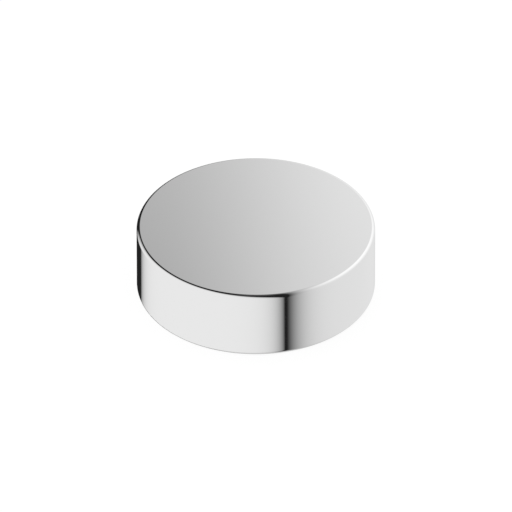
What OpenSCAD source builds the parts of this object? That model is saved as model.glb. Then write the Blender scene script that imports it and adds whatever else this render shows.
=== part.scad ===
// Dealer button: a weighted, mirror-plated metal puck that marks the dealer at a card table.
//
// A cup-shaped die-cast shell forms the top face and the whole side wall. A flush base plate is
// pressed into a rebate in its lower rim. Inside, a turned steel slug gives the weight, a moulded
// ring that stands on the base plate centres it, and two die-cut foam pads keep it from rattling.
//
// Units are millimetres. +Z is up, and the origin is the centre of the underside.

/* [Puck] */
// Outside diameter
puck_d = 50; // [40:0.5:80]
// Overall height
puck_h = 15.3; // [12:0.1:24]
// Radius of the rounded top edge
edge_r = 0.8; // [0.3:0.1:1]
// Radius of the rounded bottom edge
foot_r = 1; // [0.3:0.1:1.2]

/* [Shell] */
// Thickness of the top face
top_t = 1.6; // [1.2:0.1:3]
// Width of the flat rim between the rounded edge and the base plate, seen from below
rim_w = 0.4; // [0.3:0.05:0.8]
// Width of the ledge that the base plate is pressed against
ledge_w = 0.5; // [0.3:0.1:1.5]
// Radius of the inside corner under the top face
inner_r = 1; // [0.5:0.1:1.5]

/* [Base plate] */
// Thickness of the base plate
base_t = 1.5; // [1:0.1:2.5]
// Leg of the small chamfer on each side of the seam around the base plate
seam_c = 0.12; // [0.05:0.01:0.25]

/* [Weight] */
// Chamfer on the slug's edges
slug_c = 0.5; // [0.2:0.1:1]
// Diameter of the lathe centre mark in the slug's upper face
mark_d = 3; // [2:0.5:4]

/* [Soft pads] */
// Thickness of each foam pad as squeezed in place
pad_t = 1; // [0.5:0.1:2]
// Gap between a pad's edge and what surrounds it
pad_gap = 1; // [0.5:0.1:2]
// Diameter of the hole in the lower pad
pad_hole_d = 16; // [8:1:20]

/* [Centring ring] */
// Width of the ring from its bore to the tips of its ribs
ring_w = 2.6; // [2.4:0.1:4]
// Gap between the ring and the pieces around it
ring_gap = 0.15; // [0.05:0.05:0.4]
// Number of ribs that face the shell's wall
rib_n = 12; // [6:1:24]
// Radius of each rib
rib_r = 0.9; // [0.6:0.1:1.2]
// Height of the ribs above the ring's outside
rib_h = 0.5; // [0.3:0.1:0.5]

/* [Hidden] */
$fn = 180;

puck_r = puck_d / 2;
base_r = puck_r - foot_r - rim_w;
cavity_r = base_r - ledge_w;
cavity_top = puck_h - top_t;
ring_out_r = cavity_r - ring_gap;
ring_in_r = ring_out_r - ring_w;
slug_r = ring_in_r - ring_gap;
slug_bottom = base_t + pad_t;
slug_top = cavity_top - pad_t;
// How far a cutting shape runs past the face that it cuts
past = 1;

// 2D: what comes off a square corner at the origin to leave an arc of radius r. The solid lies
// towards -X and -Y of the corner.
module round_off(r) {
    difference() {
        translate([-r, -r]) square(r + past);
        translate([-r, -r]) circle(r);
    }
}

// 2D: what comes off the same corner to leave a 45 degree chamfer with legs of length c.
module chamfer_off(c) {
    polygon([[-c, past], [-c, 0], [0, -c], [past, -c], [past, past]]);
}

// 2D half section of the cavity: a bore with a rounded corner under the top face, and the wider
// rebate for the base plate below it.
module cavity_section() {
    difference() {
        translate([0, -past]) square([cavity_r, cavity_top + past]);
        translate([cavity_r, cavity_top]) round_off(inner_r);
    }
    translate([0, -past]) square([base_r, base_t + past]);
}

module shell() {
    color("gainsboro")
        rotate_extrude()
            difference() {
                square([puck_r, puck_h]);
                translate([puck_r, puck_h]) round_off(edge_r);
                translate([puck_r, 0]) mirror([0, 1]) round_off(foot_r);
                cavity_section();
                translate([base_r, 0]) rotate(180) chamfer_off(seam_c);
            }
}

module base_plate() {
    color("gainsboro")
        rotate_extrude()
            difference() {
                square([base_r, base_t]);
                translate([base_r, 0]) mirror([0, 1]) chamfer_off(seam_c);
            }
}

module weight_slug() {
    color("slategray")
        difference() {
            rotate_extrude()
                difference() {
                    translate([0, slug_bottom]) square([slug_r, slug_top - slug_bottom]);
                    translate([slug_r, slug_top]) chamfer_off(slug_c);
                    translate([slug_r, slug_bottom]) mirror([0, 1]) chamfer_off(slug_c);
                }
            translate([0, 0, slug_top - mark_d / 2])
                cylinder(h = mark_d / 2 + past, r1 = 0, r2 = mark_d / 2 + past);
        }
}

module centring_ring() {
    ring_h = slug_top - base_t;
    color("dimgray")
        translate([0, 0, base_t])
            difference() {
                union() {
                    cylinder(h = ring_h, r = ring_out_r - rib_h);
                    intersection() {
                        cylinder(h = ring_h, r = ring_out_r);
                        for (i = [0 : rib_n - 1])
                            rotate([0, 0, i * 360 / rib_n])
                                translate([ring_out_r - rib_h, 0, 0])
                                    cylinder(h = ring_h, r = rib_r);
                    }
                }
                translate([0, 0, -past]) cylinder(h = ring_h + 2 * past, r = ring_in_r);
            }
}

module upper_pad() {
    color("black")
        translate([0, 0, slug_top])
            cylinder(h = pad_t, r = cavity_r - inner_r - pad_gap);
}

module lower_pad() {
    color("black")
        translate([0, 0, base_t])
            difference() {
                cylinder(h = pad_t, r = ring_in_r - pad_gap);
                translate([0, 0, -past]) cylinder(h = pad_t + 2 * past, d = pad_hole_d);
            }
}

shell();
base_plate();
weight_slug();
centring_ring();
upper_pad();
lower_pad();
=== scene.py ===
import math

import bpy
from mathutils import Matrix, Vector, noise


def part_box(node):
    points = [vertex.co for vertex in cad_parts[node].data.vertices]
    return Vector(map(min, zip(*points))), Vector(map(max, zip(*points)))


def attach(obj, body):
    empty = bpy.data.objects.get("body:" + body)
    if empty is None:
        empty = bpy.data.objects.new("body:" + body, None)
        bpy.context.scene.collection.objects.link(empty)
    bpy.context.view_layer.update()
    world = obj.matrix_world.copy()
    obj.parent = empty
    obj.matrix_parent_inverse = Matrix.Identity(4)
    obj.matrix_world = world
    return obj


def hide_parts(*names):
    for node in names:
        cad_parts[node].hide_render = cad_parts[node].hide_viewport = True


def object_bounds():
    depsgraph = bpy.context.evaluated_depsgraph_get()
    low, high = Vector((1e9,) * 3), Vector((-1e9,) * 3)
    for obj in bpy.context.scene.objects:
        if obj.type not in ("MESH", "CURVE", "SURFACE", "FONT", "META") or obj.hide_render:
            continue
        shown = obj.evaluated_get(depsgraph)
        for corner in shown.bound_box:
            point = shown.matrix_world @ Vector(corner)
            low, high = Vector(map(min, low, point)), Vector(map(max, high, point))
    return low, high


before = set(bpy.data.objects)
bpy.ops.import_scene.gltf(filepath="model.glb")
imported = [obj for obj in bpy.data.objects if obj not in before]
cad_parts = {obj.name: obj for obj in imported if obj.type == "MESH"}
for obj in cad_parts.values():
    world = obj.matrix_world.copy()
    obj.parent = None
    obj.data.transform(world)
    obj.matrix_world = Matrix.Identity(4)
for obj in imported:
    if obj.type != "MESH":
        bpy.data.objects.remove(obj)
cad_low, cad_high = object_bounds()

# A chrome-plated dealer button. Everything is in metres, and MM turns millimetres into metres.
# Places and outer sizes come from the CAD nodes' boxes. The small sizes below don't show in a
# box: they repeat the CAD model's own, or belong to detail that it leaves out.
MM = 0.001

# Shell and base plate. EDGE_R rounds the top edge, and FOOT_R the bottom one.
EDGE_R = 0.8 * MM
FOOT_R = 1.0 * MM
INNER_R = 1.0 * MM
LEDGE_W = 0.5 * MM
SEAM_C = 0.12 * MM
# Steel slug
SLUG_C = 0.5 * MM
MARK_R = 1.5 * MM
# Centring ring. A rib reaches RIB_TIP to each side of its middle at its full height, and RIB_FOOT
# where it leaves the ring.
RING_W = 2.6 * MM
RING_C = 0.2 * MM
RIB_N = 12
RIB_H = 0.5 * MM
RIB_TIP = 0.7 * MM
RIB_FOOT = 1.0 * MM
# Foam pads, whose edges bulge out and whose skin has shallow dimples
PAD_HOLE_R = 8 * MM
PAD_BULGE = 0.12 * MM
DIMPLE_DEPTH = 0.04 * MM
DIMPLE_SIZE = 0.8 * MM

# How finely the shapes are divided: round the axis, along an arc of the section and along a wall
AROUND = 512
PAD_AROUND = 288
ARC_STEPS = 16
WALL_STEPS = 8

puck_r, puck_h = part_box("shell")[1].x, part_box("shell")[1].z


# ---------------------------------------------------------------- shapes

def line(start, end, steps=1):
    """A straight stretch of a half section, as (point, normal) pairs. The solid is on its left."""
    (r0, z0), (r1, z1) = start, end
    length = math.hypot(r1 - r0, z1 - z0)
    normal = ((z1 - z0) / length, (r0 - r1) / length)
    shares = [step / steps for step in range(steps + 1)]
    return [((r0 + (r1 - r0) * share, z0 + (z1 - z0) * share), normal) for share in shares]


def arc(centre, radius, first, last):
    """A round stretch from angle first to angle last. It is hollow where the angle falls."""
    side = 1 if last > first else -1
    stretch = []
    for step in range(ARC_STEPS + 1):
        angle = math.radians(first + (last - first) * step / ARC_STEPS)
        r, z = math.cos(angle), math.sin(angle)
        stretch.append(((centre[0] + radius * r, centre[1] + radius * z), (side * r, side * z)))
    return stretch


def lathe(stretches, around=AROUND):
    """Turns a half section about Z. Returns the vertices, the faces and, for each corner of each
    face, the section's exact normal there."""
    verts, faces, normals, rings = [], [], [], {}
    angles = [math.tau * i / around for i in range(around)]
    turns = [(math.cos(angle), math.sin(angle)) for angle in angles]

    def ring(point):
        """The numbers of the vertices that a point of the section becomes, one on the axis."""
        key = (round(point[0] / MM, 5), round(point[1] / MM, 5))
        if key not in rings:
            first = len(verts)
            made = 1 if key[0] == 0 else around
            rings[key] = [first + i % made for i in range(around)]
            verts.extend((point[0] * c, point[0] * s, point[1]) for c, s in turns[:made])
        return rings[key]

    def face(*corners):
        """Adds a face. Each corner is (ring, place in it, normal in the section)."""
        faces.append([rim[i] for rim, i, slope in corners])
        normals.extend((r * turns[i][0], r * turns[i][1], z) for rim, i, (r, z) in corners)

    def flat_disc(a, b, slope):
        """One face for a level stretch that starts or ends on the axis."""
        rim = ring(max(a, b))
        order = range(around) if a[0] > b[0] else range(around - 1, -1, -1)
        face(*[(rim, i, slope) for i in order])

    def band(a, slope_a, b, slope_b):
        """A band of faces round the axis, which narrows to a point where b is on the axis."""
        start, end = ring(a), ring(b)
        for i in range(around):
            j = (i + 1) % around
            far = [(end, j, slope_b), (end, i, slope_b)] if b[0] else [(end, i, slope_b)]
            face((start, i, slope_a), (start, j, slope_a), *far)

    for stretch in stretches:
        for (a, slope_a), (b, slope_b) in zip(stretch, stretch[1:]):
            if a[1] == b[1] and 0 in (a[0], b[0]):
                flat_disc(a, b, slope_a)
            else:
                band(a, slope_a, b, slope_b)
    return verts, faces, normals


def make_piece(name, verts, faces, normals=None):
    """An object with this mesh, smooth as its normals say or else wherever faces meet gently."""
    gentle = math.radians(30)
    mesh = bpy.data.meshes.new(name)
    mesh.from_pydata(verts, [], faces)
    mesh.shade_smooth()
    if normals:
        mesh.normals_split_custom_set(normals)
    else:
        mesh.set_sharp_from_angle(angle=gentle)
    piece = bpy.data.objects.new(name, mesh)
    bpy.context.scene.collection.objects.link(piece)
    return piece


def finish_piece(piece, node, material):
    """The piece stands for a CAD node, rides on the one body and takes its finish from a slot."""
    piece.data.materials.append(material)
    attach(piece, "root")
    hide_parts(node)


# ---------------------------------------------------------------- shading helpers

def add_node(tree, kind, inputs=None, **settings):
    """Adds a shader node. inputs gives sockets a value or a link, by name or by place."""
    made = tree.nodes.new("ShaderNode" + kind)
    for name, value in settings.items():
        setattr(made, name, value)
    for key, value in (inputs or {}).items():
        if isinstance(value, bpy.types.NodeSocket):
            tree.links.new(value, made.inputs[key])
        else:
            made.inputs[key].default_value = value
    return made


def maths(tree, operation, *values):
    """The result of a Math node."""
    return add_node(tree, "Math", dict(enumerate(values)), operation=operation).outputs[0]


def ease(tree, value, start, end, before=0.0, after=1.0):
    """Moves smoothly from before to after as value goes from start to end."""
    sockets = {"Value": value, "From Min": start, "From Max": end, "To Min": before, "To Max": after}
    return add_node(tree, "MapRange", sockets, interpolation_type="SMOOTHSTEP").outputs[0]


def blend(tree, share, first, second):
    """first where share is 0, second where it is 1."""
    return add_node(tree, "Mix", {0: share, 2: first, 3: second}, data_type="FLOAT").outputs[0]


def tint(tree, share, first, second):
    """The colour between first and second, each given as red, green and blue."""
    sockets = {0: share, 6: (*first, 1), 7: (*second, 1)}
    return add_node(tree, "Mix", sockets, data_type="RGBA").outputs[2]


def new_material(name, **settings):
    """A material with one Principled shader, and the position on the piece in metres."""
    material = bpy.data.materials.new(name)
    material.use_nodes = True
    tree = material.node_tree
    shader = tree.nodes["Principled BSDF"]
    for socket, value in settings.items():
        shader.inputs[socket.replace("_", " ")].default_value = value
    place = add_node(tree, "TexCoord").outputs["Object"]
    return material, tree, shader, place


def connect(tree, shader, **sources):
    """Links results to the shader's sockets."""
    for socket, source in sources.items():
        tree.links.new(source, shader.inputs[socket.replace("_", " ")])


def from_axis(tree, place):
    """The distance from the Z axis."""
    flat = add_node(tree, "VectorMath", {0: place, 1: (1, 1, 0)}, operation="MULTIPLY").outputs[0]
    return add_node(tree, "VectorMath", {0: flat}, operation="LENGTH").outputs["Value"]


def height_of(tree, place):
    """The height above the surface that the button lies on."""
    return add_node(tree, "SeparateXYZ", {0: place}).outputs["Z"]


def pattern(tree, place, size, detail=2.0, stretch=(1, 1, 1), turn=0.0):
    """Noise from 0 to 1 with features of about this size, drawn out along an axis by stretch."""
    scale = [1 / (size * along) for along in stretch]
    moved = add_node(tree, "Mapping", {"Vector": place, "Rotation": (0, 0, turn), "Scale": scale})
    sockets = {"Vector": moved.outputs[0], "Scale": 1.0, "Detail": detail}
    return add_node(tree, "TexNoise", sockets).outputs[0]


def bump(tree, height, depth, below=None):
    """A normal for a relief of this depth, over the relief below it."""
    sockets = {"Height": height, "Distance": depth}
    if below is not None:
        sockets["Normal"] = below
    return add_node(tree, "Bump", sockets).outputs[0]


# ---------------------------------------------------------------- materials

# Most of a noise pattern's values lie between these
NOISE_LOW, NOISE_HIGH = 0.3, 0.7


def bright_plate():
    """Polished chrome plate: a mirror with the faint waviness, hairlines and scuffs of handling."""
    clean, worn_grey = (0.8, 0.8, 0.8), (0.74, 0.74, 0.735)
    wave_size, wave_depth = 9 * MM, 0.0012 * MM
    # Hairlines run three ways, and show only where the noise that makes them is high
    hair_width, hair_stretch, hair_turns = 0.12 * MM, (1, 60, 1), (0.3, 1.4, 2.6)
    hair_start, hair_full, hair_depth, hair_rough = 0.66, 0.78, 0.0001 * MM, 0.02
    haze_size, haze_low, haze_high = 4 * MM, 0.02, 0.05
    # The side knocks against chips, and the underside slides over the table
    side_reach, side_rough = 1.6 * MM, 0.02
    under_reach, under_rough = 0.5 * MM, 0.14
    scuff_size, scuff_start, scuff_full = 0.5 * MM, 0.45, 0.7

    material, tree, shader, place = new_material("bright_plate", Metallic=1.0)
    hairlines = 0.0
    for turn in hair_turns:
        grain = pattern(tree, place, hair_width, detail=3.0, stretch=hair_stretch, turn=turn)
        hairlines = maths(tree, "MAXIMUM", hairlines, ease(tree, grain, hair_start, hair_full))
    waves = bump(tree, pattern(tree, place, wave_size, detail=1.0), wave_depth)
    relief = bump(tree, hairlines, hair_depth, waves)

    side = ease(tree, from_axis(tree, place), puck_r - side_reach, puck_r, 0.0, side_rough)
    under = ease(tree, height_of(tree, place), under_reach, 0.0, 0.0, under_rough)
    scuffs = ease(tree, pattern(tree, place, scuff_size, detail=5.0), scuff_start, scuff_full)
    worn = maths(tree, "MULTIPLY", maths(tree, "ADD", side, under), scuffs)
    haze = pattern(tree, place, haze_size, detail=4.0)
    haze = ease(tree, haze, NOISE_LOW, NOISE_HIGH, haze_low, haze_high)
    rough = maths(tree, "MULTIPLY_ADD", hairlines, hair_rough, maths(tree, "ADD", haze, worn))
    colour = tint(tree, worn, clean, worn_grey)
    connect(tree, shader, Base_Color=colour, Roughness=rough, Normal=relief)
    return material


def turned_steel():
    """Bright turned steel: the fine grooves that the tool leaves, under a thin film of oil."""
    dry, oily = (0.54, 0.54, 0.53), (0.5, 0.5, 0.495)
    feed, groove_depth = 0.4 * MM, 0.01 * MM
    wander_size, wander = 3 * MM, 0.05 * MM
    grain_size, grain_depth = 0.12 * MM, 0.001 * MM
    film_size, rough_low, rough_high = 5 * MM, 0.26, 0.31

    material, tree, shader, place = new_material("turned_steel", Metallic=1.0)
    # The sum of radius and height changes across the end faces and along the side alike
    across = maths(tree, "ADD", from_axis(tree, place), height_of(tree, place))
    across = maths(tree, "MULTIPLY_ADD", pattern(tree, place, wander_size), wander, across)
    groove = maths(tree, "SINE", maths(tree, "MULTIPLY", across, math.tau / feed))
    grain = pattern(tree, place, grain_size, detail=3.0)
    relief = bump(tree, grain, grain_depth, bump(tree, groove, groove_depth))
    film = pattern(tree, place, film_size, detail=4.0)
    rough = ease(tree, film, NOISE_LOW, NOISE_HIGH, rough_low, rough_high)
    colour = tint(tree, film, dry, oily)
    connect(tree, shader, Base_Color=colour, Roughness=rough, Normal=relief)
    return material


def moulded_plastic():
    """Black moulded plastic with the fine matt grain of a spark-eroded tool."""
    dark, light = (0.045, 0.045, 0.05), (0.06, 0.06, 0.065)
    grain_size, grain_depth = 0.2 * MM, 0.008 * MM
    flow_size, rough_low, rough_high = 6 * MM, 0.48, 0.62

    material, tree, shader, place = new_material("moulded_plastic")
    grain = pattern(tree, place, grain_size, detail=3.0)
    flow = pattern(tree, place, flow_size, detail=3.0, stretch=(1, 1, 3))
    rough = ease(tree, flow, NOISE_LOW, NOISE_HIGH, rough_low, rough_high)
    colour, relief = tint(tree, flow, dark, light), bump(tree, grain, grain_depth)
    connect(tree, shader, Base_Color=colour, Roughness=rough, Normal=relief)
    return material


def foam():
    """Black closed-cell foam: small cells, with dull walls, and painted shade that darkens each
    cell's hollow.
    """
    # The hollows' grey is painted shade, darker than the walls' own grey
    hollow_painted_shade_grey, wall_grey = (0.02, 0.02, 0.021), (0.045, 0.045, 0.048)
    cell_size, cell_depth = 0.35 * MM, 0.05 * MM
    # The distance from a cell's middle, as a share of its size, in its hollow and at its wall
    hollow, wall = 0.1, 0.8
    rough_hollow, rough_wall = 0.95, 0.8

    material, tree, shader, place = new_material("foam", Specular_IOR_Level=0.25)
    sockets = {"Vector": place, "Scale": 1 / cell_size}
    cells = add_node(tree, "TexVoronoi", sockets, feature="SMOOTH_F1").outputs["Distance"]
    rough = ease(tree, cells, hollow, wall, rough_hollow, rough_wall)
    # The colour darkens towards each cell's middle, where the hollow is: painted shade
    colour, relief = tint(tree, cells, hollow_painted_shade_grey, wall_grey), bump(tree, cells, cell_depth)
    connect(tree, shader, Base_Color=colour, Roughness=rough, Normal=relief)
    return material


# ---------------------------------------------------------------- pieces

def shell(material):
    """The cup: top face and side wall in one, with the ledge and rebate for the base plate."""
    base_r, base_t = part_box("base_plate")[1].x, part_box("base_plate")[1].z
    cavity_r, cavity_top = base_r - LEDGE_W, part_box("upper_pad")[1].z
    foot_flat_r = puck_r - FOOT_R
    flat_r, wall_top = puck_r - EDGE_R, puck_h - EDGE_R
    corner_r, corner_z = cavity_r - INNER_R, cavity_top - INNER_R
    section = [
        line((base_r + SEAM_C, 0), (foot_flat_r, 0)),
        arc((foot_flat_r, FOOT_R), FOOT_R, -90, 0),
        line((puck_r, FOOT_R), (puck_r, wall_top), WALL_STEPS),
        arc((flat_r, wall_top), EDGE_R, 0, 90),
        line((flat_r, puck_h), (0, puck_h)),
        line((0, cavity_top), (corner_r, cavity_top)),
        arc((corner_r, corner_z), INNER_R, 90, 0),
        line((cavity_r, corner_z), (cavity_r, base_t), WALL_STEPS),
        line((cavity_r, base_t), (base_r, base_t)),
        line((base_r, base_t), (base_r, SEAM_C)),
        line((base_r, SEAM_C), (base_r + SEAM_C, 0)),
    ]
    finish_piece(make_piece("shell_plated", *lathe(section)), "shell", material)


def base_plate(material):
    """The disc that closes the case, with its side of the seam's small V groove."""
    base_r, base_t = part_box("base_plate")[1].x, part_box("base_plate")[1].z
    section = [
        line((0, 0), (base_r - SEAM_C, 0)),
        line((base_r - SEAM_C, 0), (base_r, SEAM_C)),
        line((base_r, SEAM_C), (base_r, base_t)),
        line((base_r, base_t), (0, base_t)),
    ]
    plate = make_piece("base_plate_plated", *lathe(section))
    finish_piece(plate, "base_plate", material)


def weight_slug(material):
    """The turned slug, with chamfered edges and a lathe centre mark in its upper face."""
    low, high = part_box("weight_slug")
    r = high.x
    section = [
        line((0, low.z), (r - SLUG_C, low.z)),
        line((r - SLUG_C, low.z), (r, low.z + SLUG_C)),
        line((r, low.z + SLUG_C), (r, high.z - SLUG_C), WALL_STEPS),
        line((r, high.z - SLUG_C), (r - SLUG_C, high.z)),
        line((r - SLUG_C, high.z), (MARK_R, high.z), WALL_STEPS),
        line((MARK_R, high.z), (0, high.z - MARK_R)),
    ]
    slug = make_piece("weight_slug_turned", *lathe(section))
    finish_piece(slug, "weight_slug", material)


def rib_outline(outer_r):
    """(angle, radius) round the outside of the ring, close together only where a rib's side is."""
    valley_r = outer_r - RIB_H
    period = math.tau / RIB_N
    side, side_steps = RIB_FOOT - RIB_TIP, 8
    gap, gap_steps = valley_r * period / 2 - RIB_FOOT, 12
    # How far each point of half a rib and half a gap is from the rib's middle, along the ring
    offsets = [0, RIB_TIP / 2]
    offsets += [RIB_TIP + side * step / side_steps for step in range(side_steps + 1)]
    offsets += [RIB_FOOT + gap * (step + 1) / gap_steps for step in range(gap_steps)]
    points = []
    for rib in range(RIB_N):
        for offset in [-o for o in reversed(offsets[1:-1])] + offsets:
            share = min(max((abs(offset) - RIB_TIP) / side, 0), 1)
            rise = 1 - share * share * (3 - 2 * share)
            points.append((rib * period + offset / valley_r, valley_r + RIB_H * rise))
    return points


def centring_ring(material):
    """The moulded ring: a plain bore round the slug, and ribs that face the shell's wall."""
    low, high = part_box("centring_ring")
    outer_r = high.x
    inner_r = outer_r - RING_W
    outline = rib_outline(outer_r)
    bore = [(angle, inner_r) for angle, _ in outline]
    # The section's corners, as (how far in from its surface, height)
    rising = [(RING_C, low.z), (0, low.z + RING_C), (0, high.z - RING_C), (RING_C, high.z)]
    # Up the outside and then down the bore, where in means away from the axis
    levels = [(outline, -inset, z) for inset, z in rising]
    levels += [(bore, inset, z) for inset, z in reversed(rising)]
    verts = []
    for circle, change, z in levels:
        for angle, circle_r in circle:
            r = circle_r + change
            verts.append((r * math.cos(angle), r * math.sin(angle), z))
    count, rows = len(outline), len(levels)
    faces = []
    for row in range(rows):
        below, above = row * count, (row + 1) % rows * count
        for i in range(count):
            j = (i + 1) % count
            faces.append((below + i, below + j, above + j, above + i))
    ring = make_piece("centring_ring_moulded", verts, faces)
    finish_piece(ring, "centring_ring", material)


def bulged_edge(radius, low_z, high_z, side):
    """The squeezed edge of a foam disc, going up. side is -1 on a hole, where it goes down."""
    half, middle = (high_z - low_z) / 2, (high_z + low_z) / 2
    stretch = []
    for step in range(ARC_STEPS + 1):
        angle = math.pi * (step / ARC_STEPS - 0.5) * side
        r = radius + side * PAD_BULGE * (math.cos(angle) - 1)
        stretch.append(((r, middle + half * math.sin(angle)), (side, 0)))
    return stretch


def foam_pad(name, node, material, hole_r=0.0):
    """A die-cut foam disc as the slug squeezes it, with bulged edges and a dimpled skin."""
    low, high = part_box(node)
    middle = (low.z + high.z) / 2
    flat_r = high.x - PAD_BULGE
    inner_r = hole_r + PAD_BULGE if hole_r else 0
    rings = round((flat_r - inner_r) / MM)
    section = [
        bulged_edge(high.x, low.z, high.z, 1),
        line((flat_r, high.z), (inner_r, high.z), rings),
        line((inner_r, low.z), (flat_r, low.z), rings),
    ]
    if hole_r:
        section.append(bulged_edge(hole_r, low.z, high.z, -1))
    verts, faces, _ = lathe(section, PAD_AROUND)
    skin = []
    for vert in verts:
        dimple = DIMPLE_DEPTH * max(0, noise.noise(Vector(vert) / DIMPLE_SIZE))
        skin.append((vert[0], vert[1], vert[2] + (dimple if vert[2] < middle else -dimple)))
    pad = make_piece(name, skin, faces)
    finish_piece(pad, node, material)


# ---------------------------------------------------------------- studio

# The tent round the button, which only mirrors see. Directions are (azimuth, elevation) in
# degrees, with azimuth 0 at the camera's side and positive to the right. A level is a brightness.
# The panels, the lamp and the back patch were fitted to the photograph's greys by least squares
# and rounded. The cards and the light from below were set one by one.
TENT_R = 300 * MM
# Two large panels. Each is dark beyond its reach, and rise and bend say how it brightens inside.
KEY_PANEL = {"aim": (-58.2, -10.2), "reach": 80.3, "rise": 7.2, "bend": 0.88}
FILL_PANEL = {"aim": (109, -0.9), "reach": 81.7, "rise": 6.6, "bend": 1.19}
KEY_LEVEL, FILL_LEVEL = 1.012, 0.918
# The least level, in the dark gap between the panels
GAP_LEVEL = 0.017
# The fill panel ends in a soft edge behind the button: it is dark at the first of these places and
# full at the second. Both are shares of the tent's radius, to the right of the middle.
FILL_DARK, FILL_FULL = -0.13, 0.0
# The fill panel's lamp makes it brighter round one place
LAMP = {"aim": (150, 59), "level": 0.44, "inner": 5, "outer": 86}
# Small soft cards in the dark parts behind and above the button, which its other sides mirror
CARDS = [
    {"aim": (-120, 22), "inner": 12, "outer": 22, "level": 0.5},
    {"aim": (180, -8), "inner": 5, "outer": 24, "level": 0.7},
    {"aim": (180, 88), "inner": 3, "outer": 13, "level": 0.16},
]
# The patch behind the button that its top mirrors to the camera. It goes from one level to the
# other over BACK_TURN degrees to each side of the middle, and gets darker with each degree up.
BACK = {"aim": (180, 32.8), "inner": 10.6, "outer": 18.7}
BACK_LEFT, BACK_RIGHT, BACK_TURN = 0.581, 0.98, 7.4
BACK_FADE = -0.0125
# Straight below the button the tent is evenly lit, from a soft start at this elevation
BELOW_LEVEL, BELOW_START, BELOW_FULL = 0.72, -60, -75
# The floor's radius, its own grey, and the white glow that keeps it nearly free of shadows
FLOOR_R = 4.0
FLOOR_GREY, FLOOR_GLOW = 0.15, 0.88


def aimed(azimuth, elevation):
    """The unit vector that points that way. The camera's side is -Y."""
    a, e = math.radians(azimuth), math.radians(elevation)
    return Vector((math.cos(e) * math.sin(a), -math.cos(e) * math.cos(a), math.sin(e)))


def degrees(tree, operation, *values):
    """The result of an inverse trigonometric Math node, in degrees."""
    return maths(tree, "DEGREES", maths(tree, operation, *values))


def facing(tree, way, aim):
    """The cosine of the angle between a direction on the tent and an aim."""
    product = add_node(tree, "VectorMath", {0: way, 1: aimed(*aim)}, operation="DOT_PRODUCT")
    return product.outputs["Value"]


def soft_panel(tree, way, aim, reach, rise, bend):
    """A large panel: 0 beyond its reach, quickly brighter inside it, then nearly 1."""
    edge = math.cos(math.radians(reach))
    inside = maths(tree, "MAXIMUM", maths(tree, "SUBTRACT", facing(tree, way, aim), edge), 0.0)
    depth = maths(tree, "MULTIPLY", maths(tree, "POWER", inside, bend), -rise)
    return maths(tree, "SUBTRACT", 1.0, maths(tree, "EXPONENT", depth))


def disc(tree, way, aim, inner, outer, level=1.0):
    """A round soft-edged area, at its level inside and 0 outside."""
    return ease(tree, degrees(tree, "ARCCOSINE", facing(tree, way, aim)), outer, inner, 0.0, level)


def tent_light(tree, way):
    """The tent's brightness in a direction."""
    x, y, z = add_node(tree, "SeparateXYZ", {0: way}).outputs
    elevation = degrees(tree, "ARCSINE", z)
    key = maths(tree, "MULTIPLY", soft_panel(tree, way, **KEY_PANEL), KEY_LEVEL)
    fill_level = maths(tree, "ADD", disc(tree, way, **LAMP), FILL_LEVEL)
    fill = maths(tree, "MULTIPLY", soft_panel(tree, way, **FILL_PANEL), fill_level)
    fill = maths(tree, "MULTIPLY", fill, ease(tree, x, FILL_DARK, FILL_FULL))
    light = maths(tree, "ADD", key, fill)
    for card in CARDS:
        light = maths(tree, "MAXIMUM", light, disc(tree, way, **card))

    turn = degrees(tree, "ARCTAN2", x, y)
    back = ease(tree, turn, -BACK_TURN, BACK_TURN, BACK_LEFT, BACK_RIGHT)
    above = maths(tree, "SUBTRACT", elevation, BACK["aim"][1])
    back = maths(tree, "MULTIPLY_ADD", above, BACK_FADE, back)
    light = blend(tree, disc(tree, way, **BACK), light, back)
    light = blend(tree, ease(tree, elevation, BELOW_START, BELOW_FULL), light, BELOW_LEVEL)
    return maths(tree, "MAXIMUM", light, GAP_LEVEL)


def plain_material(name):
    """A material with an empty tree, and the tree."""
    material = bpy.data.materials.new(name)
    material.use_nodes = True
    material.node_tree.nodes.clear()
    return material, material.node_tree


def light_tent():
    """A round light tent whose brightness depends on the direction from the button."""
    material, tree = plain_material("light_tent")
    place = add_node(tree, "TexCoord").outputs["Object"]
    way = add_node(tree, "VectorMath", {0: place}, operation="NORMALIZE").outputs[0]
    glowing = add_node(tree, "Emission", {"Strength": tent_light(tree, way)})
    add_node(tree, "OutputMaterial", {"Surface": glowing.outputs[0]})

    bpy.ops.mesh.primitive_uv_sphere_add(segments=96, ring_count=48, radius=TENT_R)
    tent = bpy.context.object
    tent.name = "light_tent"
    tent.location.z = (cad_low.z + cad_high.z) / 2
    tent.data.materials.append(material)
    tent.data.shade_smooth()
    tent.visible_camera = False
    tent.visible_diffuse = False
    tent.visible_shadow = False


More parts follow.
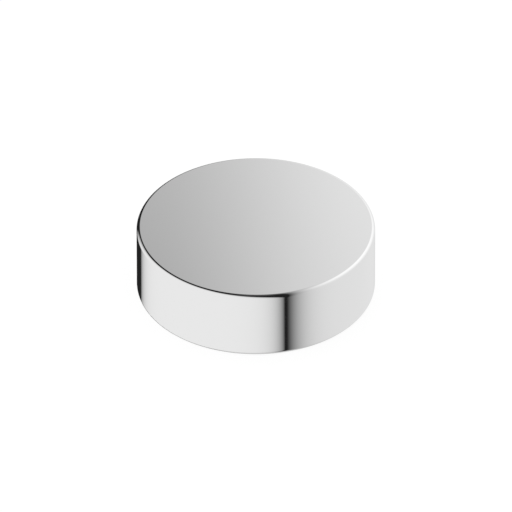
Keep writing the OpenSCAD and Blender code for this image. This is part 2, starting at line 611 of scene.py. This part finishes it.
def floor():
    """A plain pale floor. Mirrors don't see it: the tent goes on under it."""
    material, tree = plain_material("pale_floor")
    matt = add_node(tree, "BsdfDiffuse", {"Color": (FLOOR_GREY, FLOOR_GREY, FLOOR_GREY, 1)})
    glow = add_node(tree, "Emission", {"Strength": FLOOR_GLOW})
    both = add_node(tree, "AddShader", {0: matt.outputs[0], 1: glow.outputs[0]})
    add_node(tree, "OutputMaterial", {"Surface": both.outputs[0]})

    bpy.ops.mesh.primitive_circle_add(vertices=128, radius=FLOOR_R, fill_type="NGON")
    ground = bpy.context.object
    ground.name = "pale_floor"
    ground.data.materials.append(material)
    ground.visible_glossy = False


def white_world():
    """Even white light from everywhere, in a picture whose greys aren't toned."""
    world = bpy.data.worlds.new("studio")
    world.use_nodes = True
    world.node_tree.nodes["Background"].inputs["Color"].default_value = (1, 1, 1, 1)
    bpy.context.scene.world = world
    bpy.context.scene.view_settings.view_transform = "Standard"


def camera():
    """A long lens at the photograph's angle, aimed a hair off the middle of the button. across is
    the width that the picture covers at the button, and the sensor's width is in millimetres."""
    elevation, distance, across, sensor = 36.06, 3.65, 107.4 * MM, 36
    off_right, off_up = 0.025 * MM, -0.02 * MM
    back, right, up = aimed(0, elevation), aimed(90, 0), aimed(180, 90 - elevation)
    data = bpy.data.cameras.new("camera")
    data.sensor_width = sensor
    data.lens = sensor * distance / across
    data.clip_start, data.clip_end = 0.1, 20
    made = bpy.data.objects.new("camera", data)
    made.location = (cad_low + cad_high) / 2 + back * distance + right * off_right + up * off_up
    made.rotation_mode = "QUATERNION"
    made.rotation_quaternion = (-back).to_track_quat("-Z", "Y")
    bpy.context.scene.collection.objects.link(made)
    bpy.context.scene.camera = made


camera()
white_world()
light_tent()
floor()
chrome = bright_plate()
black_foam = foam()
shell(chrome)
base_plate(chrome)
weight_slug(turned_steel())
centring_ring(moulded_plastic())
foam_pad("upper_pad_foam", "upper_pad", black_foam)
foam_pad("lower_pad_foam", "lower_pad", black_foam, hole_r=PAD_HOLE_R)
